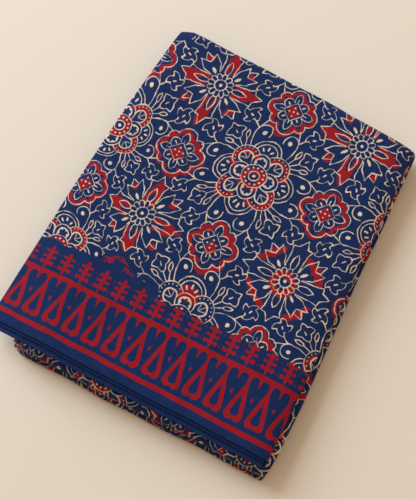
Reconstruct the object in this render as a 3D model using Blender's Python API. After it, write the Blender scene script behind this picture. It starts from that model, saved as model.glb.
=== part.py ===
# A length of block-printed cotton, folded into a flat bundle.
# The cloth is folded in half and in half again across its width, which gives
# four nested plies, and then back and forth along its length in five runs.
# It is one sheet, so it is one solid: the section of the four plies is swept
# along the back-and-forth path, and the whole is then pushed a little out of true.
# X runs along the printed border, Y from the border to the far side, Z up.
# Lengths are in metres.

from math import cos, pi, sin

import bmesh
import bpy

SHEET = 0.00105
GAP = 0.00035
PLIES = 4
RUNS = 5
PLY_STEP = SHEET + GAP
RUN_STEP = PLIES * PLY_STEP
GROUP = RUN_STEP - GAP

# The straight bundle, before it is pushed out of true.
WIDTH = 0.265
LENGTH = 0.340

# How far each end of the section stops short of the left edge.
HEM_INSET_INNER = 0.0045
HEM_INSET_OUTER = 0.0080
# The hollow between the two nested folds at the right edge.
FOLD_HOLLOW = 0.0016

PLY_CUTS = 5
OUTER_FOLD_CUTS = 6
INNER_FOLD_CUTS = 4
RUN_CUTS = 6
TURN_CUTS = 8
# A turn at the near or far side reaches out a little more than a half circle.
TURN_REACH = 1.15

# Where the turns between the runs have their centres, from the near edge.
# Columns: lower run of the two, side of the turn, distance from the near edge.
TURNS = (
    (0, "near", -0.0104),
    (1, "far", 0.3370),
    (2, "near", -0.0078),
    (3, "far", 0.3338),
)
BOTTOM_END = 0.331

# Plan of the straight bundle's corners after the push, for the top run and for the runs under it.
# Columns: near left, near right, far right, far left.
TOP_CORNERS = ((-0.1608, -0.2321), (0.1292, -0.2357), (0.1279, 0.1014), (-0.1396, 0.1215))
LOW_CORNERS = ((-0.1310, -0.2321), (0.1356, -0.2357), (0.1298, 0.1010), (-0.1392, 0.1205))
TOP_RUN_BASE = (RUNS - 1) * RUN_STEP
# The top run parts from the runs under it in one gap, but more gently round the far turn.
TURN_SPREAD = 0.009
TURN_SPREAD_START = 0.290
TURN_SPREAD_LENGTH = 0.040

# How far each ply of the top run runs out past the ply on top of it, at the near edge.
# Columns: height of the ply above the top run's base in ply steps, run-out.
EDGE_RUN_OUT = ((0.0, 0.0052), (1.0, 0.0058), (2.0, 0.0026), (3.0, 0.0))
RUN_OUT_REACH = 0.060

# Waves that make the folds uneven.
# Columns: size, wave length along X, wave length along Y, phase in turns.
FRONT_WAVES = ((0.0006, 0.173, 0.90, 0.10), (0.0005, 0.067, 0.70, 0.35))
SIDE_WAVES = ((0.0006, 0.90, 0.210, 0.55), (0.0003, 0.80, 0.090, 0.20))
# The share of the plan waves that the flatter top run doesn't have.
TOP_CALM = 0.6
# Columns: share of the height, wave length along X, wave length along Y, phase in turns.
HEIGHT_WAVES = ((0.012, 0.240, 0.310, 0.15), (0.008, 0.110, 0.170, 0.60))

# The near left corner of the top run hangs past the runs under it and droops.
DROOP = 0.0055
DROOP_WIDTH = 0.060
DROOP_LENGTH = 0.240
# The near right corner of the lower runs is rounded off.
CORNER_TRIM = 0.0040
CORNER_TRIM_WIDTH = 0.040
CORNER_TRIM_LENGTH = 0.016

INDIGO = (0.030, 0.055, 0.165, 1.0)
ROUGHNESS = 0.9


def clear_scene():
    for obj in list(bpy.data.objects):
        bpy.data.objects.remove(obj)


def smooth(value):
    value = min(max(value, 0.0), 1.0)
    return value * value * (3.0 - 2.0 * value)


def wave_sum(waves, x, y):
    total = 0.0
    for size, x_length, y_length, phase in waves:
        total += size * sin(2.0 * pi * (x / x_length + y / y_length + phase))
    return total


def half_turn(center_x, center_z, radius, cuts, side, start):
    """Points of a half circle that opens to the left or right, without its two ends."""
    points = []
    for i in range(1, cuts):
        angle = pi * i / cuts
        points.append((center_x + side * radius * sin(angle), center_z + start * radius * cos(angle)))
    return points


def ply_line(from_x, to_x, z, cuts):
    return [(from_x + (to_x - from_x) * i / cuts, z) for i in range(cuts + 1)]


def section_center():
    """The middle line of the sheet across the bundle, from the inner hem to the outer one."""
    heights = [SHEET / 2.0 + i * PLY_STEP for i in range(PLIES)]
    outer_radius = (heights[3] - heights[0]) / 2.0
    small_radius = PLY_STEP / 2.0
    outer_x = WIDTH - SHEET / 2.0 - outer_radius
    inner_x = WIDTH - SHEET - FOLD_HOLLOW - SHEET / 2.0 - small_radius
    left_x = SHEET / 2.0 + small_radius
    points = ply_line(HEM_INSET_INNER, inner_x, heights[1], PLY_CUTS)
    points += half_turn(inner_x, heights[1] + small_radius, small_radius, INNER_FOLD_CUTS, 1, -1)
    points += ply_line(inner_x, left_x, heights[2], PLY_CUTS)
    points += half_turn(left_x, heights[2] + small_radius, small_radius, INNER_FOLD_CUTS, -1, -1)
    points += ply_line(left_x, outer_x, heights[3], PLY_CUTS)
    points += half_turn(outer_x, heights[0] + outer_radius, outer_radius, OUTER_FOLD_CUTS, 1, 1)
    points += ply_line(outer_x, HEM_INSET_OUTER, heights[0], PLY_CUTS)
    return points


def section_sides(center):
    """The two faces of the sheet, half its thickness to each side of the middle line."""
    sides = []
    last = len(center) - 1
    for i, (x, z) in enumerate(center):
        before = center[max(i - 1, 0)]
        after = center[min(i + 1, last)]
        normals = []
        for start, end in ((before, center[i]), (center[i], after)):
            dx = end[0] - start[0]
            dz = end[1] - start[1]
            size = (dx * dx + dz * dz) ** 0.5
            if size > 0.0:
                normals.append((-dz / size, dx / size))
        nx = sum(normal[0] for normal in normals) / len(normals)
        nz = sum(normal[1] for normal in normals) / len(normals)
        square = nx * nx + nz * nz
        reach = SHEET / 2.0 / square
        sides.append(((x + nx * reach, z + nz * reach), (x - nx * reach, z - nz * reach)))
    return sides


def path_stations():
    """Where the section stands along the path: the run or turn, and how far through it."""
    stations = [("run", 0, 0.0)]
    for run in range(RUNS):
        stations += [("run", run, i / RUN_CUTS) for i in range(1, RUN_CUTS + 1)]
        if run < RUNS - 1:
            stations += [("turn", run, i / TURN_CUTS) for i in range(1, TURN_CUTS)]
            stations.append(("run", run + 1, 0.0))
    return stations


def run_ends(run):
    """The start and the end of a run along Y, in the order in which the path passes them."""
    start = BOTTOM_END if run == 0 else TURNS[run - 1][2]
    end = 0.0 if run == RUNS - 1 else TURNS[run][2]
    return start, end


def straight_place(height, station):
    """Distance from the near edge and height of a section point that stands on the path."""
    kind, run, through = station
    if kind == "run":
        start, end = run_ends(run)
        y = start + (end - start) * through
        rise = height if run % 2 == 0 else GROUP - height
        return y, run * RUN_STEP + rise
    side = 1.0 if TURNS[run][1] == "far" else -1.0
    radius = (height if side > 0.0 else GROUP - height) + GAP / 2.0
    angle = pi * through
    center_z = (run + 1) * RUN_STEP - GAP / 2.0
    y = TURNS[run][2] + side * TURN_REACH * radius * sin(angle)
    return y, center_z - radius * cos(angle)


def plan(corners, x, y):
    """The place in plan of a point of the straight bundle, between the four corners."""
    across = x / WIDTH
    along = y / LENGTH
    near_left, near_right, far_right, far_left = corners
    place = []
    for axis in (0, 1):
        near = near_left[axis] + (near_right[axis] - near_left[axis]) * across
        far = far_left[axis] + (far_right[axis] - far_left[axis]) * across
        place.append(near + (far - near) * along)
    return place


def run_out(z):
    """How far the near edge of the top run stands out at this height."""
    step = (z - TOP_RUN_BASE - SHEET / 2.0) / PLY_STEP
    step = min(max(step, EDGE_RUN_OUT[0][0]), EDGE_RUN_OUT[-1][0])
    for (low, low_out), (high, high_out) in zip(EDGE_RUN_OUT, EDGE_RUN_OUT[1:]):
        if step <= high:
            return low_out + (high_out - low_out) * (step - low) / (high - low)
    return 0.0


def pushed(x, y, z):
    """A point of the straight bundle, pushed out of true as the folded cloth is."""
    spread = GAP + TURN_SPREAD * smooth((y - TURN_SPREAD_START) / TURN_SPREAD_LENGTH)
    level = smooth(0.5 + (z - TOP_RUN_BASE + GAP / 2.0) / spread)
    top_x, top_y = plan(TOP_CORNERS, x, y)
    low_x, low_y = plan(LOW_CORNERS, x, y)
    out_x = low_x + (top_x - low_x) * level
    out_y = low_y + (top_y - low_y) * level
    out_y -= run_out(z) * level * smooth(1.0 - y / RUN_OUT_REACH)
    out_y += wave_sum(FRONT_WAVES, x, y) * (1.0 - TOP_CALM * level)
    out_x += wave_sum(SIDE_WAVES, x, y) * (1.0 - TOP_CALM * level)
    near_right = smooth((x - WIDTH + CORNER_TRIM_WIDTH) / CORNER_TRIM_WIDTH)
    out_x -= CORNER_TRIM * (1.0 - level) * near_right * smooth(-y / CORNER_TRIM_LENGTH)
    droop = smooth(1.0 - x / DROOP_WIDTH) * smooth(1.0 - y / DROOP_LENGTH) * level
    out_z = z * (1.0 + wave_sum(HEIGHT_WAVES, x, y)) - DROOP * droop
    return out_x, out_y, out_z


def fabric(name, color):
    material = bpy.data.materials.new(name)
    material.use_nodes = True
    shader = material.node_tree.nodes["Principled BSDF"]
    shader.inputs["Base Color"].default_value = color
    shader.inputs["Roughness"].default_value = ROUGHNESS
    return material


def center_in_plan(bm):
    """Moves the cloth so that the middle of its outline in plan is at the origin."""
    middle = []
    for axis in (0, 1):
        places = [vert.co[axis] for vert in bm.verts]
        middle.append((min(places) + max(places)) / 2.0)
    bmesh.ops.translate(bm, verts=bm.verts, vec=(-middle[0], -middle[1], 0.0))
    print(f"the middle of the pattern lies at x {-middle[0]:.5f} m and y {-middle[1]:.5f} m")


def folded_cloth(collection):
    """One sheet: the section of its plies, drawn out station by station along the path."""
    sides = section_sides(section_center())
    section = [point for pair in sides for point in pair]
    stations = path_stations()

    def place(index, station):
        x, height = section[index]
        y, z = straight_place(height, station)
        return pushed(x, y, z)

    bm = bmesh.new()
    number = bm.verts.layers.int.new("section_point")
    verts = []
    for index in range(len(section)):
        vert = bm.verts.new(place(index, stations[0]))
        vert[number] = index
        verts.append(vert)
    for i in range(len(sides) - 1):
        bm.faces.new((verts[2 * i], verts[2 * i + 2], verts[2 * i + 3], verts[2 * i + 1]))
    end_faces = list(bm.faces)
    inner_faces = []
    for station in stations[1:]:
        grown = bmesh.ops.extrude_face_region(bm, geom=end_faces)["geom"]
        bmesh.ops.delete(bm, geom=inner_faces, context="FACES_KEEP_BOUNDARY")
        end_faces = [item for item in grown if isinstance(item, bmesh.types.BMFace)]
        inner_faces = end_faces
        for vert in {vert for face in end_faces for vert in face.verts}:
            vert.co = place(vert[number], station)
    bmesh.ops.recalc_face_normals(bm, faces=bm.faces)
    center_in_plan(bm)
    mesh = bpy.data.meshes.new("folded_cloth")
    bm.to_mesh(mesh)
    bm.free()
    mesh.materials.append(fabric("printed_cotton", INDIGO))
    obj = bpy.data.objects.new("folded_cloth", mesh)
    collection.objects.link(obj)
    return obj


def main():
    clear_scene()
    collection = bpy.data.collections.new("folded_ajrakh_cloth")
    bpy.context.scene.collection.children.link(collection)
    folded_cloth(collection)


main()
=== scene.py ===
# %% [markdown]
# A folded length of ajrakh cotton. The solids of the bundle are loaded first, as a fixed frame that
# says where the cloth is.

# %% Load the frame
from math import cos, pi, radians, sin, tau

import bmesh
import bpy
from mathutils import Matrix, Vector, noise


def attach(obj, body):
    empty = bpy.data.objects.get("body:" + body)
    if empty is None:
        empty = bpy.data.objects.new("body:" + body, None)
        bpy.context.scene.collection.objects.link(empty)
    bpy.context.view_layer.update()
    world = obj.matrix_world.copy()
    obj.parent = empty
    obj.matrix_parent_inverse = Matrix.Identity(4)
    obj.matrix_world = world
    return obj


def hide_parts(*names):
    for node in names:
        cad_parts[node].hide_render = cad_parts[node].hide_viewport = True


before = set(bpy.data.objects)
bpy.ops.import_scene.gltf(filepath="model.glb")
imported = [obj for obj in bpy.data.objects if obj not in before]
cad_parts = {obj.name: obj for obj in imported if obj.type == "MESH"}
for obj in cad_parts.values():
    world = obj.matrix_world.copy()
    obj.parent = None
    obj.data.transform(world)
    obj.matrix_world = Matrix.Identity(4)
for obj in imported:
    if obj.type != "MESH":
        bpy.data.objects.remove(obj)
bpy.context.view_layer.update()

# %% [markdown]
# The picture is taken from above and a little from the right of the near side, with a long lens.
# A camera looks along its own -Z axis, so it is turned until that axis points at the target.
# Both points were found by fitting the four corners of the top and the repeats of the print.

# %% Camera
PRINT_CENTER = Vector((0.01280, 0.06428, 0.0))
camera_place = PRINT_CENTER + Vector((0.1321, -0.3598, 0.9339))
camera_target = PRINT_CENTER + Vector((-0.0077, -0.0835, 0.0277))

camera_data = bpy.data.cameras.new("photo_camera")
camera_data.lens = 73.0
camera_data.sensor_width = 36.0
camera = bpy.data.objects.new("photo_camera", camera_data)
camera.location = camera_place
camera.rotation_euler = (camera_target - camera_place).to_track_quat("-Z", "Y").to_euler()
bpy.context.scene.collection.objects.link(camera)
bpy.context.scene.camera = camera
print("camera", (camera_target - camera_place).length, "m from the cloth")

# %% [markdown]
# The cloth lies on a plain warm-white table. One large soft light from the left gives the print its
# even look and puts the long shadow on the right. The world adds a little light from all around.

# %% Floor and lights
FLOOR_COLOR = (0.78, 0.71, 0.62, 1.0)
SKY_COLOR = (1.0, 0.77, 0.55, 1.0)
SKY_STRENGTH = 0.590
WINDOW_PLACE = (-2.89, 1.32, 1.69)
WINDOW_SIZE = 3.20
WINDOW_POWER = 178.0
WINDOW_COLOR = (0.74, 0.88, 1.0)


def new_mesh_object(name, bm):
    mesh = bpy.data.meshes.new(name)
    bm.to_mesh(mesh)
    bm.free()
    obj = bpy.data.objects.new(name, mesh)
    bpy.context.scene.collection.objects.link(obj)
    return obj


def soft_light(name, place, target, size, power, color):
    data = bpy.data.lights.new(name, "AREA")
    data.shape = "DISK"
    data.size = size
    data.energy = power
    data.color = color
    light = bpy.data.objects.new(name, data)
    light.location = place
    light.rotation_euler = (Vector(target) - Vector(place)).to_track_quat("-Z", "Y").to_euler()
    bpy.context.scene.collection.objects.link(light)


bm = bmesh.new()
bmesh.ops.create_grid(bm, x_segments=1, y_segments=1, size=3.0)
floor = new_mesh_object("table_top", bm)
floor_finish = bpy.data.materials.new("pale_table")
floor_finish.use_nodes = True
floor_shader = floor_finish.node_tree.nodes["Principled BSDF"]
floor_shader.inputs["Base Color"].default_value = FLOOR_COLOR
floor_shader.inputs["Roughness"].default_value = 0.85
floor.data.materials.append(floor_finish)

soft_light("window", WINDOW_PLACE, (0.0, 0.0, 0.0), WINDOW_SIZE, WINDOW_POWER, WINDOW_COLOR)

world = bpy.data.worlds.new("studio")
world.use_nodes = True
world.node_tree.nodes["Background"].inputs["Color"].default_value = SKY_COLOR
world.node_tree.nodes["Background"].inputs["Strength"].default_value = SKY_STRENGTH
bpy.context.scene.world = world
bpy.context.scene.view_settings.view_transform = "Standard"

# %% [markdown]
# The real cloth is one length, folded in four across its width and then back and forth along its
# length. It could be modelled as a block with lines on its sides, but then no fold would open and
# no layer would end. So the sheet is laid out flat as a grid, and each of its points is carried to
# its place in the folds. The sizes here are those of the solid, so the sheet lies where the solid is.

# %% The section of the folded width
PLY_STEP = 0.0014
PLY_THICKNESS = 0.00105
PLIES = 4
RUN_STEP = PLIES * PLY_STEP
GAP = PLY_STEP - PLY_THICKNESS
GROUP = RUN_STEP - GAP
WIDTH = 0.265
LENGTH = 0.340
HEM_INSET_INNER = 0.0045
HEM_INSET_OUTER = 0.0080
FOLD_HOLLOW = 0.0016
# How many pieces each ply and each side fold of the section is cut into.
PLY_CUTS = 16
TOP_CUTS = 48
LOWEST_CUTS = 20
INNER_FOLD_CUTS = 6
LEFT_FOLD_CUTS = 8
OUTER_FOLD_CUTS = 10


def straight_ply(from_x, to_x, z, cuts, name):
    return [(from_x + (to_x - from_x) * i / cuts, z, name) for i in range(cuts + 1)]


def side_fold(center_x, center_z, radius, cuts, side, start, name):
    points = []
    for i in range(1, cuts):
        turn = pi * i / cuts
        points.append((center_x + side * radius * sin(turn), center_z + start * radius * cos(turn), name))
    return points


def folded_width():
    """The cloth's middle line from its inner edge to its outer one, as x, height and the ply's name."""
    low, second, third, top = (PLY_THICKNESS / 2.0 + i * PLY_STEP for i in range(PLIES))
    outer_radius = (top - low) / 2.0
    small_radius = PLY_STEP / 2.0
    outer_x = WIDTH - PLY_THICKNESS / 2.0 - outer_radius
    inner_x = WIDTH - PLY_THICKNESS * 1.5 - FOLD_HOLLOW - small_radius
    left_x = PLY_THICKNESS / 2.0 + small_radius
    line = straight_ply(HEM_INSET_INNER, inner_x, second, PLY_CUTS, "third")
    line += side_fold(inner_x, second + small_radius, small_radius, INNER_FOLD_CUTS, 1, -1, "inner fold")
    line += straight_ply(inner_x, left_x, third, PLY_CUTS, "second")
    line += side_fold(left_x, third + small_radius, small_radius, LEFT_FOLD_CUTS, -1, -1, "left fold")
    line += straight_ply(left_x, outer_x, top, TOP_CUTS, "top")
    line += side_fold(outer_x, low + outer_radius, outer_radius, OUTER_FOLD_CUTS, 1, 1, "outer fold")
    line += straight_ply(outer_x, HEM_INSET_OUTER, low, LOWEST_CUTS, "lowest")
    return line


section = folded_width()
print("section", len(section), "points")

# %% [markdown]
# Along its length the cloth goes back and forth five times. A station says where the section stands
# on that path: on which run or turn, and how far through it. The top run gets four times as many rows
# as the hidden ones, because it carries the soft creases. The last row lies close to the cut edge:
# a smooth shader would otherwise round the edge off over the whole last square.

# %% The path of the length
# Columns: lower run of the two, side of the turn, distance of its centre from the near edge.
TURNS = (
    (0, "near", -0.0104),
    (1, "far", 0.3370),
    (2, "near", -0.0078),
    (3, "far", 0.3338),
)
RUNS = 5
TURN_REACH = 1.15
BOTTOM_END = 0.331
# Columns: run, cuts along it.
RUN_CUTS = (18, 18, 18, 18, 72)
TURN_CUTS = 12
LAST_ROW = 0.9985


def path_stations():
    stations = [("run", 0, 0.0)]
    for run in range(RUNS):
        stations += [("run", run, i / RUN_CUTS[run]) for i in range(1, RUN_CUTS[run] + 1)]
        if run < RUNS - 1:
            stations += [("turn", run, i / TURN_CUTS) for i in range(1, TURN_CUTS)]
            stations.append(("run", run + 1, 0.0))
    stations.insert(-1, ("run", RUNS - 1, LAST_ROW))
    return stations


def straight_place(height, station):
    """Distance from the near edge and height of a section point that stands at a station."""
    kind, run, through = station
    if kind == "run":
        start = BOTTOM_END if run == 0 else TURNS[run - 1][2]
        end = 0.0 if run == RUNS - 1 else TURNS[run][2]
        rise = height if run % 2 == 0 else GROUP - height
        return start + (end - start) * through, run * RUN_STEP + rise
    side = 1.0 if TURNS[run][1] == "far" else -1.0
    radius = (height if side > 0.0 else GROUP - height) + GAP / 2.0
    y = TURNS[run][2] + side * TURN_REACH * radius * sin(pi * through)
    return y, (run + 1) * RUN_STEP - GAP / 2.0 - radius * cos(pi * through)


stations = path_stations()
print("path", len(stations), "stations")

# %% [markdown]
# Nobody folds a cloth perfectly square. The top run is wider at the near side than at the far side,
# its near left corner droops, each ply stands out a little past the one on it, and the folds wander.
# The top sinks towards both side folds. These numbers push the straight bundle into that shape.

# %% Push out of true
TOP_RUN_BASE = (RUNS - 1) * RUN_STEP
# Columns: near left, near right, far right, far left, measured from the middle of a flower.
TOP_CORNERS = ((-0.1608, -0.2321), (0.1292, -0.2357), (0.1279, 0.1014), (-0.1396, 0.1215))
LOW_CORNERS = ((-0.1310, -0.2321), (0.1356, -0.2357), (0.1298, 0.1010), (-0.1392, 0.1205))
# Columns: plies above the top run's base, how far the near edge stands out there.
EDGE_RUN_OUT = ((0.0, 0.0070), (1.0, 0.0076), (2.0, 0.0028), (3.0, 0.0))
# Columns: size, wave length along X, wave length along Y, phase in turns.
FRONT_WAVES = ((0.0006, 0.173, 0.90, 0.10), (0.0005, 0.067, 0.70, 0.35))
SIDE_WAVES = ((0.0006, 0.90, 0.210, 0.55), (0.0003, 0.80, 0.090, 0.20))
HEIGHT_WAVES = ((0.012, 0.240, 0.310, 0.15), (0.008, 0.110, 0.170, 0.60))
# The share of the plan waves that the flatter top run doesn't have.
TOP_CALM = 0.6
# The top run parts from the runs under it in one gap, but more gently round the far turn:
# over how much height, how far from the near edge that starts, and how far on it is complete.
TURN_SPREAD, TURN_SPREAD_START, TURN_SPREAD_LENGTH = 0.009, 0.290, 0.040
# How far back from the near edge the plies' run-out reaches.
RUN_OUT_REACH = 0.060
# The near right corner of the lower runs is rounded off: how far, how wide and how long.
CORNER_TRIM, TRIM_WIDTH, TRIM_LENGTH = 0.0040, 0.040, 0.016
# The near left corner droops: how far, and how far in and back that reaches.
DROOP, DROOP_WIDTH, DROOP_LENGTH = 0.0055, 0.060, 0.240
# How far the top sinks at the right and the left side fold, as a share of its height, and how far in.
EDGE_SINK, EDGE_SINK_WIDTH = 0.15, 0.022
LEFT_SINK, LEFT_SINK_WIDTH = 0.12, 0.024


def smooth(value):
    value = min(max(value, 0.0), 1.0)
    return value * value * (3.0 - 2.0 * value)


def wave_sum(waves, x, y):
    return sum(size * sin(tau * (x / across + y / along + phase)) for size, across, along, phase in waves)


def corner_plan(corners, x, y):
    """The place in plan of a point of the straight bundle, between four corners."""
    near_left, near_right, far_right, far_left = (Vector(corner) for corner in corners)
    return near_left.lerp(near_right, x / WIDTH).lerp(far_left.lerp(far_right, x / WIDTH), y / LENGTH)


def edge_run_out(z):
    """How far the near edge of the top run stands out at this height."""
    step = (z - TOP_RUN_BASE - PLY_THICKNESS / 2.0) / PLY_STEP
    step = min(max(step, 0.0), PLIES - 1.0)
    for (low, low_out), (high, high_out) in zip(EDGE_RUN_OUT, EDGE_RUN_OUT[1:]):
        if step <= high:
            return low_out + (high_out - low_out) * (step - low) / (high - low)


def over_top_run(place):
    """Where a place in plan lies on the top run, in the straight bundle's measures."""
    near_left, near_right, far_right, far_left = (Vector(corner) for corner in TOP_CORNERS)
    up = (place.y - near_left.y) / (far_left.y - near_left.y)
    left, right = near_left.lerp(far_left, up), near_right.lerp(far_right, up)
    across = (place.x - left.x) / (right.x - left.x)
    near, far = near_left.lerp(near_right, across), far_left.lerp(far_right, across)
    return across * WIDTH, (place.y - near.y) / (far.y - near.y) * LENGTH


def pushed(x, y, z):
    """Where a point of the straight bundle lies once the bundle is pushed out of true."""
    spread = GAP + TURN_SPREAD * smooth((y - TURN_SPREAD_START) / TURN_SPREAD_LENGTH)
    level = smooth(0.5 + (z - TOP_RUN_BASE + GAP / 2.0) / spread)
    place = corner_plan(LOW_CORNERS, x, y).lerp(corner_plan(TOP_CORNERS, x, y), level)
    calm = 1.0 - TOP_CALM * level
    run_out = edge_run_out(z) * level * smooth(1.0 - y / RUN_OUT_REACH)
    place.y += wave_sum(FRONT_WAVES, x, y) * calm - run_out
    place.x += wave_sum(SIDE_WAVES, x, y) * calm
    near_right = smooth((x - WIDTH + TRIM_WIDTH) / TRIM_WIDTH)
    place.x -= CORNER_TRIM * (1.0 - level) * near_right * smooth(-y / TRIM_LENGTH)
    # What lies one on the other is lowered alike, so no layer sinks into the one below it.
    x, y = over_top_run(place)
    corner_share = smooth(1.0 - x / DROOP_WIDTH) * smooth(1.0 - y / DROOP_LENGTH)
    droop = DROOP * corner_share * min(z / TOP_RUN_BASE, 1.0)
    z = z * (1.0 + wave_sum(HEIGHT_WAVES, x, y)) - droop
    left_share = min(max(1.0 - x / LEFT_SINK_WIDTH, 0.0), 1.0)
    right_share = min(max(1.0 - (WIDTH - x) / EDGE_SINK_WIDTH, 0.0), 1.0)
    z *= (1.0 - LEFT_SINK * left_share**2) * (1.0 - EDGE_SINK * right_share**2)
    return Vector((place.x, place.y, z))


print("near left corner of the top at", pushed(0.0, 0.0, TOP_RUN_BASE + GROUP))

# %% [markdown]
# The sheet starts as a flat grid, one square for each step across and along. Its rows and columns
# are numbered by where they lie in the grid, and then each point is sent to its place in the folds.
# The solid is plainer than the cloth, so what is soft on the real one is added here. The left and the
# far side bow out, and the far left corner is tucked in. Shallow creases run through the top as soft
# troughs, placed where the light shows them, and a slow swell lifts and lowers what is between.
# The plies at the near edge lift off each other a little, and the turns that stick out there get painted
# shade.

# %% Fold the sheet
# Columns: start of the crease in plan, its end, depth, width.
CREASES = (
    ((-0.098, -0.236), (-0.088, -0.120), 0.0007, 0.010),
    ((0.040, -0.240), (0.052, -0.150), 0.0006, 0.012),
    ((-0.020, 0.110), (-0.034, 0.020), 0.0005, 0.014),
    ((0.090, 0.020), (0.126, -0.020), 0.0006, 0.012),
    ((-0.140, -0.020), (-0.096, -0.034), 0.0006, 0.012),
)
# How deep a crease still is at its two ends, as a share that is then smoothed.
CREASE_END = 0.2
# The swell: its size, its waves for each metre along X and Y, and which slice of the noise it is.
SWELL, SWELL_WAVES, SWELL_SLICE = 0.0009, (14.0, 11.0), 3.7
# The left side and the far side bow out: how far at most, and how far in from the edge it reaches.
LEFT_BOW, LEFT_BOW_REACH = 0.0037, 0.090
FAR_BOW, FAR_BOW_REACH = 0.0025, 0.100
# Over 1, this moves the left bow's widest place back. The far bow starts this far through its arc.
LEFT_BOW_SKEW = 1.2
FAR_BOW_START = 0.15
# The far left corner is tucked in: how far, how wide along the edge, how far down the side.
CORNER_TUCK = (0.0042, 0.0110, 0.0200)
# How much each ply lifts off the one below it at the near edge, and how far back that reaches.
EDGE_LIFT = 0.0004
EDGE_LIFT_REACH = 0.030
# The turns at the near side stick out and are darkened with painted shade, and less so one row and two
# rows away.
NEAR_TURN_SHADE_STEPS = (1.0, 0.5, 0.0)


def crease_depth(place):
    """How far the creases lower the cloth at a place in plan."""
    total = 0.0
    spot = Vector((place.x, place.y))
    for start, end, depth, width in CREASES:
        start, end = Vector(start), Vector(end)
        line = end - start
        share = min(max((spot - start).dot(line) / line.length_squared, 0.0), 1.0)
        away = (spot - start - line * share).length
        total += depth * smooth(1.0 - away / width) * smooth(4.0 * share * (1.0 - share) + CREASE_END)
    return total


def cloth_place(column, row):
    """Where a point of the flat sheet lies in the folded one, measured from the print's middle."""
    x, height = section[column][:2]
    y, z = straight_place(height, stations[row])
    place = pushed(x, y, z)
    left_arc = sin(pi * min(max(y / LENGTH, 0.0), 1.0) ** LEFT_BOW_SKEW)
    place.x -= LEFT_BOW * left_arc * smooth(1.0 - x / LEFT_BOW_REACH)
    far_arc = sin(pi * (FAR_BOW_START + (1.0 - FAR_BOW_START) * (x / WIDTH)))
    place.y += FAR_BOW * far_arc * smooth((y - LENGTH) / FAR_BOW_REACH + 1.0)
    tuck, tuck_width, tuck_reach = CORNER_TUCK
    place.y -= tuck * max(1.0 - x / tuck_width, 0.0) * smooth((y - LENGTH + tuck_reach) / tuck_reach)
    share = smooth(z / (RUNS * RUN_STEP))
    swell = noise.noise(Vector((place.x * SWELL_WAVES[0], place.y * SWELL_WAVES[1], SWELL_SLICE)))
    place.z += share * (SWELL * swell - crease_depth(place))
    ply_above_first = (z - TOP_RUN_BASE) / PLY_STEP - 1.0
    place.z += EDGE_LIFT * max(ply_above_first, 0.0) * smooth(1.0 - y / EDGE_LIFT_REACH)
    return place


def near_turn_shade_share(row):
    """1 on a turn at the near side, less over the next rows, 0 elsewhere."""
    nearby = range(max(row - 2, 0), min(row + 3, len(stations)))
    turns = [i for i in nearby if stations[i][0] == "turn" and TURNS[stations[i][1]][1] == "near"]
    return max([NEAR_TURN_SHADE_STEPS[abs(row - i)] for i in turns], default=0.0)


across_steps = len(section) - 1
along_steps = len(stations) - 1
places = [
    [cloth_place(column, row) for column in range(across_steps + 1)]
    for row in range(along_steps + 1)
]

cloth_bm = bmesh.new()
bmesh.ops.create_grid(cloth_bm, x_segments=across_steps, y_segments=along_steps, size=0.5)
grid_place = {}
# Each point carries the share of painted shade that its row gets.
painted_shade_layer = cloth_bm.verts.layers.float.new("painted_shade")
for vert in cloth_bm.verts:
    column = round((vert.co.x + 0.5) * across_steps)
    row = round((vert.co.y + 0.5) * along_steps)
    grid_place[vert] = (column, row)
    vert.co = PRINT_CENTER + places[row][column]
    vert[painted_shade_layer] = near_turn_shade_share(row)
print("sheet", len(cloth_bm.faces), "squares")

# %% [markdown]
# A print follows the cloth round every fold, so it can't be placed by where the cloth is in the room.
# Each point gets its place on the flat cloth instead, kept as a UV map in metres. One map places the
# flowers, and one the border. A block is set down by hand again and again, so no flower is quite where
# the grid wants it: the table says how far each one has drifted, and the points between share it out.
# From the top the maps run on round the folds, a step for each square. At a turn the plies are stacked
# like the layers of an onion, so the step is that of the outermost one, which is the one that is seen.

# %% Where the print lies on the cloth
HALF_REPEAT = 0.075
# Columns: steps right of the middle flower, steps up from it, drift right in mm, drift up in mm.
BLOCK_DRIFT = (
    (0, 0, -2, 4),
    (1, 0, 1, 0),
    (-1, 0, -4, -6),
    (0, 1, 3, 9),
    (0, -1, -7, -2),
    (1, 1, 4, 5),
    (-1, 1, 0, 2),
    (-1, -1, -6, -4),
    (1, -1, -4, -4),
    (-2, 0, 5, -6),
    (0, -2, -3, -6),
    (-2, -2, 11, 5),
    (2, 0, 0, 1),
    (-2, -1, 4, 1),
    (-2, 1, -3, 7),
)
# A block's drift counts fully this near to it, and past that less by this power of the distance squared.
DRIFT_REACH, DRIFT_POWER = 0.012, 1.5
# The border's lower line and upper line, as height at the middle flower and rise to the right.
BORDER_LOW = (-0.2256, -0.0197)
BORDER_HIGH = (-0.1686, -0.0030)
BORDER_HEIGHT = 0.057


def drifted(spot):
    """The place on a perfect print of what shows at this spot of the top."""
    total, weight_sum = Vector((0.0, 0.0)), 0.0
    for right, up, drift_right, drift_up in BLOCK_DRIFT:
        drift = Vector((drift_right, drift_up)) * 0.001
        block = Vector((right, up)) * HALF_REPEAT + drift
        weight = 1.0 / ((spot - block).length_squared + DRIFT_REACH**2) ** DRIFT_POWER
        total += drift * weight
        weight_sum += weight
    return spot - total / weight_sum


def border_place(spot):
    """The place on the flat border, with its slant and its taper taken out."""
    low = BORDER_LOW[0] + BORDER_LOW[1] * spot.x
    high = BORDER_HIGH[0] + BORDER_HIGH[1] * spot.x
    return Vector((spot.x, (spot.y - low) / (high - low) * BORDER_HEIGHT))


top_columns = [i for i, (x, height, ply) in enumerate(section) if ply == "top"]
first_top, last_top = top_columns[0], top_columns[-1]
middle_top, middle_lowest = (first_top + last_top) // 2, across_steps - LOWEST_CUTS // 2
first_row = along_steps - RUN_CUTS[-1] - 1


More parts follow.
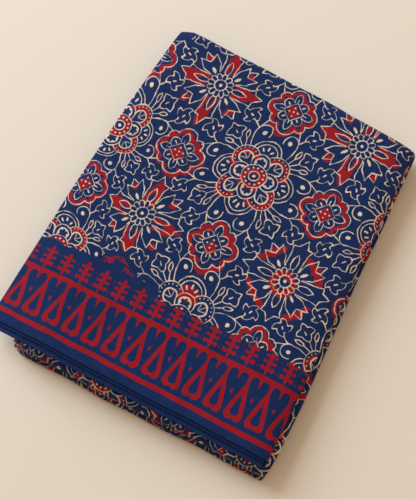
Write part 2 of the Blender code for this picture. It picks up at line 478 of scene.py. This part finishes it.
def print_row(row, find):
    """The print's places along one row of the top run, and on round the side folds."""
    line = places[row]
    spots = {column: find(line[column].xy) for column in top_columns}
    for column in range(first_top - 1, -1, -1):
        step = (line[column] - line[column + 1]).length
        spots[column] = spots[column + 1] - Vector((step, 0.0))
    for column in range(last_top + 1, across_steps + 1):
        step = (line[column] - line[column - 1]).length
        spots[column] = spots[column - 1] + Vector((step, 0.0))
    return spots


def print_map(find):
    rows = {row: print_row(row, find) for row in range(first_row, along_steps + 1)}
    for row in range(first_row - 1, -1, -1):
        step = max((places[row][i] - places[row + 1][i]).length for i in (middle_top, middle_lowest))
        rows[row] = {column: spot + Vector((0.0, step)) for column, spot in rows[row + 1].items()}
    return rows


def write_uv(name, rows):
    layer = cloth_bm.loops.layers.uv.new(name)
    for face in cloth_bm.faces:
        for loop in face.loops:
            column, row = grid_place[loop.vert]
            loop[layer].uv = rows[row][column]


flower_rows = print_map(drifted)
border_rows = print_map(border_place)
write_uv("flowers", flower_rows)
write_uv("border", border_rows)
print_width = border_rows[along_steps][across_steps].x - border_rows[along_steps][0].x
print_length = border_rows[0][first_top].y - border_rows[along_steps][first_top].y
print("print", round(print_width, 3), "m across at the cut edge and", round(print_length, 3), "m along")

# %% [markdown]
# A bake can turn the colours into a picture. A map of their own gives most of
# that picture to the visible top, and the hidden plies share the rest.

# %% Map for the bake
TOP_SHARE = 0.84
HIDDEN_ROWS_SHARE = 0.2
BAKE_MARGIN = 0.01
SHEET_THICKNESS = 0.0007


def bake_share(index, first, last, count):
    if index < first:
        return (1.0 - TOP_SHARE) / 2.0 * index / first
    if index > last:
        return (1.0 + TOP_SHARE) / 2.0 + (1.0 - TOP_SHARE) / 2.0 * (index - last) / (count - last)
    return (1.0 - TOP_SHARE) / 2.0 + TOP_SHARE * (index - first) / (last - first)


def bake_up(row):
    if row < first_row:
        return HIDDEN_ROWS_SHARE * row / first_row
    return HIDDEN_ROWS_SHARE + (1.0 - HIDDEN_ROWS_SHARE) * (row - first_row) / (along_steps - first_row)


def bake_place(column, row):
    across = bake_share(column, first_top, last_top, across_steps)
    return Vector((across, bake_up(row))) * (1.0 - 2.0 * BAKE_MARGIN) + Vector((BAKE_MARGIN, BAKE_MARGIN))


bake_rows = {
    row: {column: bake_place(column, row) for column in range(across_steps + 1)}
    for row in range(along_steps + 1)
}
write_uv("OFBake", bake_rows)

cloth = new_mesh_object("printed_cloth", cloth_bm)
for face in cloth.data.polygons:
    face.use_smooth = True
thickness = cloth.modifiers.new("thickness", "SOLIDIFY")
thickness.thickness = SHEET_THICKNESS
thickness.offset = 0.0
print("bake map", [layer.name for layer in cloth.data.uv_layers])

# %% [markdown]
# Ajrakh is printed with carved blocks: one prints a paste that keeps the lines cream, one prints the
# red, and a bath of indigo dyes the rest blue. A picture of cloth could be pasted on, but it would
# blur up close. So the print is drawn by nodes, as the blocks are cut: each line is the set of places
# that are near to a circle, an arc or a stroke. These helpers add one node each and give its output.

# %% Helpers for drawing with nodes
cloth_finish = bpy.data.materials.new("printed_cotton")
cloth_finish.use_nodes = True
cloth_tree = cloth_finish.node_tree
cloth_shader = cloth_tree.nodes["Principled BSDF"]
cloth.data.materials.append(cloth_finish)

GIVES_NUMBER = {"DISTANCE", "LENGTH", "DOT_PRODUCT"}
DIAGONAL = (0.7071, 0.7071)


def give(socket, value):
    if isinstance(value, bpy.types.NodeSocket):
        cloth_tree.links.new(value, socket)
    elif hasattr(value, "__len__") and len(value) == 2:
        socket.default_value = (value[0], value[1], 0.0)
    else:
        socket.default_value = value


def calc(operation, *values, clamp=False):
    """A number worked out from numbers."""
    node = cloth_tree.nodes.new("ShaderNodeMath")
    node.operation = operation
    node.use_clamp = clamp
    for socket, value in zip(node.inputs, values):
        give(socket, value)
    return node.outputs[0]


def move(operation, *values, scale=None):
    """A place, or for a distance or length a number, worked out from places."""
    node = cloth_tree.nodes.new("ShaderNodeVectorMath")
    node.operation = operation
    for socket, value in zip(node.inputs, values):
        give(socket, value)
    if scale is not None:
        give(node.inputs["Scale"], scale)
    return node.outputs["Value" if operation in GIVES_NUMBER else "Vector"]


def parts(place):
    node = cloth_tree.nodes.new("ShaderNodeSeparateXYZ")
    give(node.inputs[0], place)
    return node.outputs[0], node.outputs[1]


def join(x, y):
    node = cloth_tree.nodes.new("ShaderNodeCombineXYZ")
    give(node.inputs[0], x)
    give(node.inputs[1], y)
    return node.outputs[0]


def noise_field(place, scale, detail=2.0, roughness=0.5):
    node = cloth_tree.nodes.new("ShaderNodeTexNoise")
    give(node.inputs["Vector"], place)
    node.inputs["Scale"].default_value = scale
    node.inputs["Detail"].default_value = detail
    node.inputs["Roughness"].default_value = roughness
    return node


def wander(place, scale, size, detail=2.0):
    """The place, moved a little by a noise, as a hand-cut line wanders."""
    color = noise_field(place, scale, detail).outputs["Color"]
    shift = move("SUBTRACT", color, (0.5, 0.5, 0.5))
    return move("MULTIPLY_ADD", shift, (size, size, 0.0), place)


def inside(distance, edge, blur):
    """1 where the distance is under the edge, 0 past it, with a soft step between."""
    node = cloth_tree.nodes.new("ShaderNodeMapRange")
    give(node.inputs["Value"], calc("SUBTRACT", distance, edge))
    node.inputs["From Min"].default_value = blur
    node.inputs["From Max"].default_value = -blur
    return node.outputs[0]


def uv_place(name):
    node = cloth_tree.nodes.new("ShaderNodeUVMap")
    node.uv_map = name
    return node.outputs[0]


def disc(place, center, radius):
    return calc("SUBTRACT", move("DISTANCE", place, center), radius)


def ring(place, center, radius):
    return calc("ABSOLUTE", disc(place, center, radius))


def stroke(place, start, end):
    """Distance to a straight stroke."""
    line = Vector(end) - Vector(start)
    away = move("SUBTRACT", place, start)
    share = calc("MULTIPLY", move("DOT_PRODUCT", away, tuple(line)), 1.0 / line.length_squared, clamp=True)
    return move("DISTANCE", away, move("SCALE", tuple(line) + (0.0,), scale=share))


def bar(place, start, end, half_width):
    """Distance to a thick stroke with round ends, below 0 inside."""
    return calc("SUBTRACT", stroke(place, start, end), half_width)


def away_from(distance, value):
    """How far a distance is from this value, which turns a circle into a ring."""
    return calc("ABSOLUTE", calc("SUBTRACT", distance, value))


def flipped(distance):
    """The same edge with its inside and outside swapped."""
    return calc("MULTIPLY", distance, -1.0)


def leaf(place, start, end, half_width):
    """Distance to a leaf with a point at each end, below 0 inside: two circles that overlap."""
    start, end = Vector(start), Vector(end)
    half = (end - start).length / 2.0
    radius = (half * half + half_width * half_width) / (2.0 * half_width)
    side = Vector((-(end - start).y, (end - start).x)).normalized() * (radius - half_width)
    middle = (start + end) / 2.0
    first = move("DISTANCE", place, tuple(middle + side))
    second = move("DISTANCE", place, tuple(middle - side))
    return calc("SUBTRACT", calc("MAXIMUM", first, second), radius)


class Ink:
    """What is printed in one colour: thin lines by their middle, and filled shapes by their edge."""

    def __init__(self):
        self.line = None
        self.fill = None

    def draw(self, distance):
        self.line = distance if self.line is None else calc("MINIMUM", self.line, distance)

    def paint(self, distance):
        self.fill = distance if self.fill is None else calc("MINIMUM", self.fill, distance)


cream = Ink()
red = Ink()


def so_far(what):
    print(what, "drawn,", len(cloth_tree.nodes), "nodes so far")


so_far("nothing")

# %% [markdown]
# The print repeats every 150 mm and looks the same from all four sides, so one flower is drawn only
# once: the place is folded back and forth with a ping-pong node, like a paper that is folded before
# it is cut. One step here is half a repeat. A noise moves the place first, so the folded copies differ.

# %% Fold the place
def folded(place):
    x, y = parts(place)
    x = calc("PINGPONG", x, 1.0)
    y = calc("PINGPONG", y, 1.0)
    return calc("MAXIMUM", x, y), calc("MINIMUM", x, y)


flower_place = move("SCALE", uv_place("flowers"), scale=1.0 / HALF_REPEAT)
cream_place = wander(wander(flower_place, 3.2, 0.038), 15.0, 0.020)
along, beside = folded(cream_place)
place = join(along, beside)
so_far("folded place")

# %% [markdown]
# The big flower: a ringed middle with twelve dots, four lobes on its axes and four on its diagonals.
# The lobes lie behind each other. Depth says how far a place is inside what lies in front, and a line
# that takes the larger of its own distance and this depth vanishes there.

# %% Big flower
def behind(distance, depth):
    return calc("MAXIMUM", distance, depth)


def on_circle(center, radius, degrees):
    return (center[0] + radius * cos(radians(degrees)), center[1] + radius * sin(radians(degrees)))


INNER_LOBE = (0.20, 0.0)
CORNER_LOBE = (0.21, 0.21)
OUTER_LOBE = (0.34, 0.0)

from_middle = move("LENGTH", place)
cream.paint(calc("SUBTRACT", from_middle, 0.022))
cream.draw(away_from(from_middle, 0.069))
for degrees in (0.0, 30.0):
    cream.paint(disc(place, on_circle((0.0, 0.0), 0.122, degrees), 0.014))
cream.draw(away_from(from_middle, 0.165))
depth = calc("SUBTRACT", 0.165, from_middle)

from_lobe = move("DISTANCE", place, INNER_LOBE)
band = calc("SUBTRACT", away_from(from_lobe, 0.074), 0.010)
for degrees in (30.0, 95.0):
    band = calc("MINIMUM", band, disc(place, on_circle(INNER_LOBE, 0.062, degrees), 0.014))
cream.paint(behind(band, depth))
cream.draw(behind(away_from(from_lobe, 0.125), depth))
depth = calc("MAXIMUM", depth, calc("SUBTRACT", 0.125, from_lobe))

from_lobe = move("DISTANCE", place, CORNER_LOBE)
cream.draw(behind(away_from(from_lobe, 0.170), depth))
for degrees in (-32.0, -10.0, 12.0, 34.0):
    cream.paint(disc(place, on_circle(CORNER_LOBE, 0.138, degrees), 0.009))
inner_side = calc("SUBTRACT", 0.240, move("DOT_PRODUCT", place, DIAGONAL))
fan = calc("SUBTRACT", away_from(from_lobe, 0.086), 0.0105)
fan = behind(fan, inner_side)
fan = calc("MINIMUM", fan, bar(place, (0.190, 0.190), (0.270, 0.270), 0.005))
fan = calc("MINIMUM", fan, bar(place, (0.200, 0.185), (0.290, 0.190), 0.005))
cream.paint(behind(fan, depth))
depth = calc("MAXIMUM", depth, calc("SUBTRACT", 0.170, from_lobe))

from_lobe = move("DISTANCE", place, OUTER_LOBE)
for radius in (0.193, 0.145):
    cream.draw(behind(away_from(from_lobe, radius), depth))
cream.paint(bar(place, (0.405, 0.0), (0.440, 0.0), 0.013))
cream.paint(bar(place, (0.372, 0.052), (0.402, 0.072), 0.012))
depth = calc("MAXIMUM", depth, calc("SUBTRACT", 0.193, from_lobe))
so_far("big flower")

# %% [markdown]
# Stems grow out from behind the big flower: a bud on a stalk, a scroll that curls round a dot, and
# short branches to the starlets. Each is a chain of strokes, and the scroll's end is part of a circle.

# %% Stems and scrolls
# Columns: start of the stroke, its end.
STEMS = (
    ((0.347, 0.300), (0.460, 0.342)),
    ((0.330, 0.330), (0.425, 0.425)),
    ((0.376, 0.246), (0.490, 0.280)),
    ((0.490, 0.280), (0.600, 0.287)),
    ((0.640, 0.280), (0.790, 0.212)),
    ((0.640, 0.280), (0.715, 0.345)),
)
SCROLL_CENTER = (0.600, 0.190)
SCROLL_END = (-0.985, 0.174)

for start, end in STEMS:
    cream.draw(behind(stroke(place, start, end), depth))
cream.draw(calc("ABSOLUTE", leaf(place, (0.455, 0.341), (0.575, 0.370), 0.024)))
scroll_stop = Vector(SCROLL_CENTER).dot(Vector(SCROLL_END)) + 0.02
past_end = calc("SUBTRACT", move("DOT_PRODUCT", place, SCROLL_END), scroll_stop)
cream.draw(calc("MAXIMUM", ring(place, SCROLL_CENTER, 0.097), past_end))
cream.paint(disc(place, (0.597, 0.178), 0.029))
so_far("stems")

# %% [markdown]
# The starlets are small outlines with four points. Their reach from the middle depends only on the
# direction, so a ping-pong of the angle draws all four points at once.

# %% Starlets
def starlet(center, tip, waist, turn, twist, pointed):
    away = move("SUBTRACT", place, center)
    x, y = parts(away)
    reach = move("LENGTH", away)
    angle = calc("MULTIPLY_ADD", reach, twist, calc("ARCTAN2", y, x))
    angle = calc("PINGPONG", calc("SUBTRACT", angle, radians(turn) + twist * tip), pi / 4.0)
    if pointed:
        share = calc("POWER", calc("MULTIPLY_ADD", angle, -4.0 / pi, 1.0), 1.25)
    else:
        share = calc("MULTIPLY_ADD", calc("COSINE", calc("MULTIPLY", angle, 4.0)), 0.5, 0.5)
    edge = calc("MULTIPLY_ADD", share, tip - waist, waist)
    return calc("MULTIPLY", away_from(reach, edge), 0.85)


cream.draw(starlet((0.502, 0.506), 0.126, 0.076, 45.0, 3.2, pointed=True))
cream.paint(bar(place, (0.480, 0.484), (0.505, 0.514), 0.012))
curled = starlet((0.785, 0.440), 0.122, 0.070, 62.0, 9.0, pointed=False)
cream.draw(behind(curled, flipped(disc(place, (0.700, 0.400), 0.026))))
cream.paint(bar(place, (0.776, 0.426), (0.788, 0.450), 0.011))
so_far("starlets")

# %% [markdown]
# The tile is a four-lobed outline with a red band in it, four leaves, four round petals and a square
# with five dots. It is the same in all eight directions, so the place is folded once more about it.

# %% Tile
TILE_LOBE = (0.212, 0.0)
TILE_CORNER = (0.166, 0.166)
# The lines inside the tile are finer than the rest by this much on each side.
FINER = 0.0018


def folded_about(x, y):
    return join(calc("MAXIMUM", x, y), calc("MINIMUM", x, y))


def tile_outline(tile):
    lobes = calc("MINIMUM", disc(tile, TILE_LOBE, 0.128), disc(tile, TILE_CORNER, 0.078))
    return calc("MINIMUM", lobes, disc(tile, (0.0, 0.0), 0.262))


tile = folded_about(calc("SUBTRACT", 1.0, along), beside)
cream.draw(calc("ABSOLUTE", tile_outline(tile)))
tile_leaf = leaf(tile, (0.090, 0.0), (0.278, 0.0), 0.050)
bare_middle = flipped(disc(tile, (0.0, 0.0), 0.138))
tile_petal = behind(ring(tile, (0.100, 0.100), 0.068), flipped(tile_leaf))
tile_lines = calc("MINIMUM", tile_petal, calc("ABSOLUTE", tile_leaf))
tile_lines = calc("MINIMUM", behind(tile_lines, bare_middle), stroke(tile, (0.142, 0.0), (0.184, 0.0)))
tile_square = calc("ABSOLUTE", calc("SUBTRACT", move("DOT_PRODUCT", tile, DIAGONAL), 0.099))
tile_lines = calc("MINIMUM", tile_lines, tile_square)
cream.draw(calc("ADD", tile_lines, FINER))
cream.paint(bar(tile, (0.088, 0.092), (0.108, 0.112), 0.013))
cream.paint(disc(tile, (0.0, 0.0), 0.0135))
cream.paint(disc(tile, (0.060, 0.0), 0.0125))
so_far("tile")

# %% [markdown]
# The star flower has a ringed dot, twelve small petals, four long petals on its axes with a notched
# tip and a leaf inside, and four broader ones on its diagonals with a kite at the tip.

# %% Star flower
# Columns: start of the stroke, its end.
STAR_EDGES = (
    ((0.580, 0.000), (0.476, 0.058)),
    ((0.476, 0.058), (0.464, 0.126)),
    ((0.464, 0.126), (0.395, 0.102)),
    ((0.395, 0.102), (0.180, 0.094)),
    ((0.370, 0.362), (0.338, 0.268)),
    ((0.408, 0.246), (0.272, 0.270)),
    ((0.408, 0.246), (0.300, 0.140)),
    ((0.300, 0.140), (0.190, 0.104)),
)

star = folded_about(calc("SUBTRACT", 1.0, beside), calc("SUBTRACT", 1.0, along))
from_middle = move("LENGTH", star)
cream.paint(calc("SUBTRACT", from_middle, 0.024))
cream.draw(away_from(from_middle, 0.080))
x, y = parts(star)
angle = calc("PINGPONG", calc("ARCTAN2", y, x), pi / 12.0)
petal_x = calc("MULTIPLY", from_middle, calc("COSINE", angle))
petal_y = calc("MULTIPLY", from_middle, calc("SINE", angle))
petal = join(petal_x, petal_y)
petal = calc("ABSOLUTE", bar(petal, (0.112, 0.0), (0.146, 0.0), 0.032))
cream.draw(behind(petal, calc("SUBTRACT", 0.080, from_middle)))
depth = calc("SUBTRACT", 0.178, from_middle)
cream.draw(behind(calc("ABSOLUTE", leaf(star, (0.150, 0.0), (0.380, 0.0), 0.042)), depth))
for start, end in STAR_EDGES:
    cream.draw(behind(stroke(star, start, end), depth))
cream.paint(leaf(star, (0.136, 0.134), (0.214, 0.208), 0.018))
so_far("star flower")

# %% [markdown]
# The paste isn't even: lines swell where the block was pressed hard and break where it ran dry.

# %% Cream lines
swelling = noise_field(flower_place, 9.0, 3.0).outputs[0]
half_line = calc("MULTIPLY_ADD", swelling, 0.0165, -0.0032)
cream_mask = calc("MAXIMUM", inside(cream.line, half_line, 0.0028), inside(cream.fill, -0.0015, 0.0035))
so_far("cream")

# %% [markdown]
# The red block is set down after the cream one and never quite on it, and its paste bleeds. So the
# red has a place of its own, moved a millimetre or two, with rougher edges.

# %% Red areas
red_place = move("ADD", flower_place, (0.005, 0.028))
red_place = wander(wander(red_place, 1.1, 0.240, 1.0), 13.0, 0.055, 1.5)
# Two flowers got a block that had been turned, so their red lies elsewhere.
turned_star = disc(flower_place, (1.0, -1.0), 0.62)
turned_flower = disc(flower_place, (0.0, -2.0), 0.62)
turned = flipped(calc("MINIMUM", turned_star, turned_flower))
along, beside = folded(red_place)
place = join(along, beside)

from_middle = move("LENGTH", place)
red.paint(calc("SUBTRACT", away_from(from_middle, 0.118), 0.038))
turned_lobe = calc("MAXIMUM", disc(place, OUTER_LOBE, 0.150), calc("SUBTRACT", 0.280, along))
red.paint(calc("MAXIMUM", turned_lobe, turned_flower))
inner_depth = calc("SUBTRACT", 0.125, move("DISTANCE", place, INNER_LOBE))
depth = calc("MAXIMUM", calc("SUBTRACT", 0.165, from_middle), inner_depth)
from_lobe = move("DISTANCE", place, CORNER_LOBE)
lobe_band = calc("SUBTRACT", away_from(from_lobe, 0.134), 0.031)
red.paint(behind(behind(lobe_band, depth), turned))

tile = folded_about(calc("SUBTRACT", 1.0, along), beside)
tile_band = calc("SUBTRACT", calc("ABSOLUTE", calc("ADD", tile_outline(tile), 0.016)), 0.029)
red.paint(tile_band)
red.paint(calc("SUBTRACT", move("DOT_PRODUCT", tile, DIAGONAL), 0.074))

star = folded_about(calc("SUBTRACT", 1.0, beside), calc("SUBTRACT", 1.0, along))
x, y = parts(star)
tip_side = calc("SUBTRACT", move("DOT_PRODUCT", star, (0.50, 0.87)), 0.285)
long_petal = calc("MAXIMUM", calc("SUBTRACT", y, 0.088), tip_side)
long_petal = calc("MAXIMUM", long_petal, calc("SUBTRACT", 0.185, x))
outside_leaf = flipped(leaf(star, (0.150, 0.0), (0.362, 0.0), 0.036))
long_petal = calc("MAXIMUM", long_petal, outside_leaf)
red.paint(behind(long_petal, turned))
kite = calc("MAXIMUM", calc("SUBTRACT", x, 0.350), calc("SUBTRACT", 0.262, y))
red.paint(kite)
from_middle = move("LENGTH", star)
turned_ring = calc("SUBTRACT", away_from(from_middle, 0.140), 0.050)
turned_edge = calc("SUBTRACT", away_from(from_middle, 0.440), 0.035)
turned_edge = calc("MAXIMUM", turned_edge, calc("SUBTRACT", 0.150, y))
red.paint(calc("MAXIMUM", calc("MINIMUM", turned_ring, turned_edge), turned_star))
bare_specks = calc("SUBTRACT", noise_field(flower_place, 34.0, 2.0).outputs[0], 0.660)
red_mask = inside(calc("MAXIMUM", red.fill, calc("MULTIPLY", bare_specks, 0.3)), 0.0, 0.0032)
so_far("red")

# %% [markdown]
# The border is printed with its own blocks: a line, a row of drops whose necks join an upper line in
# round arches, and a row of sprigs. Here the place is in millimetres from the border's lower edge,
# and it is folded once for each drop, and once more for each sprig.

# %% Border
DROP_PITCH = 21.1
SPRIG_PITCH = 19.3
border_place_mm = move("SCALE", uv_place("border"), scale=1000.0)
border_place_mm = wander(wander(border_place_mm, 0.035, 2.2), 0.55, 0.55)
right, up = parts(border_place_mm)

side = calc("PINGPONG", calc("ADD", right, 2.0), DROP_PITCH / 2.0)
drop = join(side, up)
half_width = calc("MINIMUM", calc("MULTIPLY_ADD", up, -0.262, 12.9), 8.2)
half_width = calc("MAXIMUM", half_width, 1.4)
drop_outer = calc("MAXIMUM", calc("SUBTRACT", side, half_width), calc("SUBTRACT", 14.0, up))
drop_outer = calc("MINIMUM", drop_outer, disc(drop, (3.9, 14.0), 4.9))
inner_width = calc("MULTIPLY_ADD", up, -0.235, 8.2)
drop_inner = calc("MAXIMUM", calc("SUBTRACT", side, inner_width), calc("SUBTRACT", 17.2, up))
drop_inner = calc("MINIMUM", drop_inner, disc(drop, (0.0, 17.4), 4.2))
drops = calc("MAXIMUM", drop_outer, flipped(drop_inner))
arch = calc("SUBTRACT", 4.3, move("DISTANCE", drop, (5.75, 48.4)))
arch = calc("MAXIMUM", arch, calc("SUBTRACT", 48.4, up))
cusp = calc("SUBTRACT", calc("SUBTRACT", DROP_PITCH / 2.0, side), calc("MULTIPLY_ADD", up, 0.20, -8.7))
cusp = calc("MAXIMUM", cusp, calc("SUBTRACT", 44.0, up))
border_red = calc("MINIMUM", drops, calc("MINIMUM", arch, cusp))
border_red = calc("MAXIMUM", border_red, calc("SUBTRACT", up, 57.0))
border_red = calc("MINIMUM", border_red, calc("SUBTRACT", away_from(up, 2.3), 2.3))
seed = bar(drop, (DROP_PITCH / 2.0, 31.4), (DROP_PITCH / 2.0, 33.4), 1.0)
border_red = calc("MINIMUM", border_red, seed)

side = calc("PINGPONG", calc("ADD", right, 4.3), SPRIG_PITCH / 2.0)
sprig = join(side, up)
stem_width = calc("MINIMUM", calc("MULTIPLY_ADD", up, 0.26, -14.6), 1.75)
stem = calc("MAXIMUM", calc("SUBTRACT", side, stem_width), calc("SUBTRACT", up, 77.0))
sprigs = calc("MAXIMUM", stem, calc("SUBTRACT", 56.0, up))
sprigs = calc("MINIMUM", sprigs, bar(sprig, (0.0, 77.2), (0.0, 79.4), 1.60))
# Columns: height of the branch, its reach, its ball's size.
BRANCHES = ((63.2, 4.9, 2.10), (69.6, 5.1, 1.50), (75.6, 4.6, 1.35))
for height, reach, ball in BRANCHES:
    sprigs = calc("MINIMUM", sprigs, bar(sprig, (0.0, height), (reach, height), 1.05))
    sprigs = calc("MINIMUM", sprigs, disc(sprig, (reach, height + 0.2), ball))
# Columns: height of a speck between the sprigs, its size.
for height, speck in ((62.6, 0.60), (74.8, 0.40)):
    sprigs = calc("MINIMUM", sprigs, disc(sprig, (SPRIG_PITCH / 2.0, height), speck))
border_red = calc("MINIMUM", border_red, sprigs)
border_mask = inside(border_red, 0.0, 0.30)
so_far("border")

# %% [markdown]
# The flowers stop above the sprigs, a little lower on the right, where the last blocks were set down.
# The far left corner was missed by the blocks, so it stays blue, and one tile got no cream and only
# bits of its red. Dye takes unevenly, and thick and thin threads take it differently, so each colour
# is a blend of a dark and a light one, streaked along both sets of threads. One flat colour would look
# like plastic. The paste is pale where it was pressed thin, and the turns at the near side are darkened
# with painted shade, the shade under the top run.

# %% Colours of the print
INDIGO_DARK = (0.0029, 0.0142, 0.0725, 1.0)
INDIGO = (0.0054, 0.0246, 0.1130, 1.0)
MADDER = (0.350, 0.0056, 0.0118, 1.0)
MADDER_DARK = (0.250, 0.0040, 0.0100, 1.0)
CREAM = (0.74, 0.60, 0.44, 1.0)
CREAM_THIN = (0.40, 0.36, 0.36, 1.0)
# Painted shade: the dark colour that the turns at the near side are blended towards.
PAINTED_SHADE_COLOR = (0.0015, 0.0015, 0.0025, 1.0)


def blend(share, first, second):
    node = cloth_tree.nodes.new("ShaderNodeMix")
    node.data_type = "RGBA"
    give(node.inputs[0], share)
    give(node.inputs[6], first)
    give(node.inputs[7], second)
    return node.outputs[2]


cloth_flat = uv_place("border")
ragged = noise_field(cloth_flat, 80.0, 2.0).outputs[0]
field_end = calc("MULTIPLY_ADD", inside(right, -30.0, 1.5), 9.5, 73.8)
field_end = calc("MULTIPLY_ADD", ragged, 9.0, field_end)
bare_corner = disc(flower_place, (-1.93, 1.62), 0.34)
field_mask = calc("MAXIMUM", inside(up, field_end, 0.8), inside(bare_corner, 0.0, 0.004))
field_mask = calc("SUBTRACT", 1.0, field_mask)
bare_tile = inside(disc(flower_place, (-1.0, -2.0), 0.37), 0.0, 0.004)
cream_all = calc("MULTIPLY", cream_mask, calc("SUBTRACT", field_mask, bare_tile, clamp=True))
missed_bits = inside(noise_field(flower_place, 22.0, 2.0).outputs[0], 0.49, 0.010)
red_field = calc("SUBTRACT", field_mask, calc("MULTIPLY", bare_tile, missed_bits), clamp=True)
red_all = calc("MAXIMUM", calc("MULTIPLY", red_mask, red_field), border_mask)

dye = noise_field(cloth_flat, 60.0, 4.0, 0.6).outputs[0]
warp_threads = noise_field(move("MULTIPLY", cloth_flat, (1.0, 0.05, 1.0)), 1100.0, 1.0).outputs[0]
weft_threads = noise_field(move("MULTIPLY", cloth_flat, (0.05, 1.0, 1.0)), 1100.0, 1.0).outputs[0]
threads = calc("ADD", warp_threads, weft_threads)
uneven = calc("MULTIPLY_ADD", threads, 1.9, calc("MULTIPLY_ADD", dye, 1.0, -1.90), clamp=True)
indigo = blend(uneven, INDIGO_DARK, INDIGO)
madder = blend(uneven, MADDER_DARK, MADDER)
paste = blend(calc("MULTIPLY_ADD", swelling, 2.2, -0.25, clamp=True), CREAM_THIN, CREAM)
printed = blend(cream_all, blend(red_all, indigo, madder), paste)
# Painted shade: the turns at the near side are blended towards a dark colour, standing in for the shade
# under the top run.
painted_shade = cloth_tree.nodes.new("ShaderNodeAttribute")
painted_shade.attribute_name = "painted_shade"
painted_shade_amount = calc("MULTIPLY", painted_shade.outputs["Fac"], calc("MULTIPLY_ADD", dye, 0.5, 0.20, clamp=True))
printed = blend(painted_shade_amount, printed, PAINTED_SHADE_COLOR)
give(cloth_shader.inputs["Base Color"], printed)
cloth_shader.inputs["Roughness"].default_value = 0.88
cloth_shader.inputs["Sheen Weight"].default_value = 0.10
cloth_shader.inputs["Sheen Tint"].default_value = (0.60, 0.72, 1.0, 1.0)
cloth_shader.inputs["Sheen Roughness"].default_value = 0.5
cloth_shader.inputs["Specular IOR Level"].default_value = 0.15
so_far("colours")

# %% [markdown]
# The plain weave is too fine to model. Two waves that cross, one for each set of threads, give the
# height for a bump, so that the light catches it.

# %% Weave
THREAD_PITCH = 0.00055
x, y = parts(move("SCALE", cloth_flat, scale=tau / THREAD_PITCH))
weave = calc("MULTIPLY", calc("SINE", x), calc("SINE", y))
bump = cloth_tree.nodes.new("ShaderNodeBump")
bump.inputs["Strength"].default_value = 0.35
bump.inputs["Distance"].default_value = 0.0001
give(bump.inputs["Height"], weave)
give(cloth_shader.inputs["Normal"], bump.outputs[0])
so_far("weave")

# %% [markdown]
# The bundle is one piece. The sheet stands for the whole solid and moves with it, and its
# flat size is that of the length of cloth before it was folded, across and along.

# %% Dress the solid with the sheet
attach(cloth, "root")
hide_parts("folded_cloth")
print("dressed", cloth.name, "with", len(cloth.data.polygons), "squares")
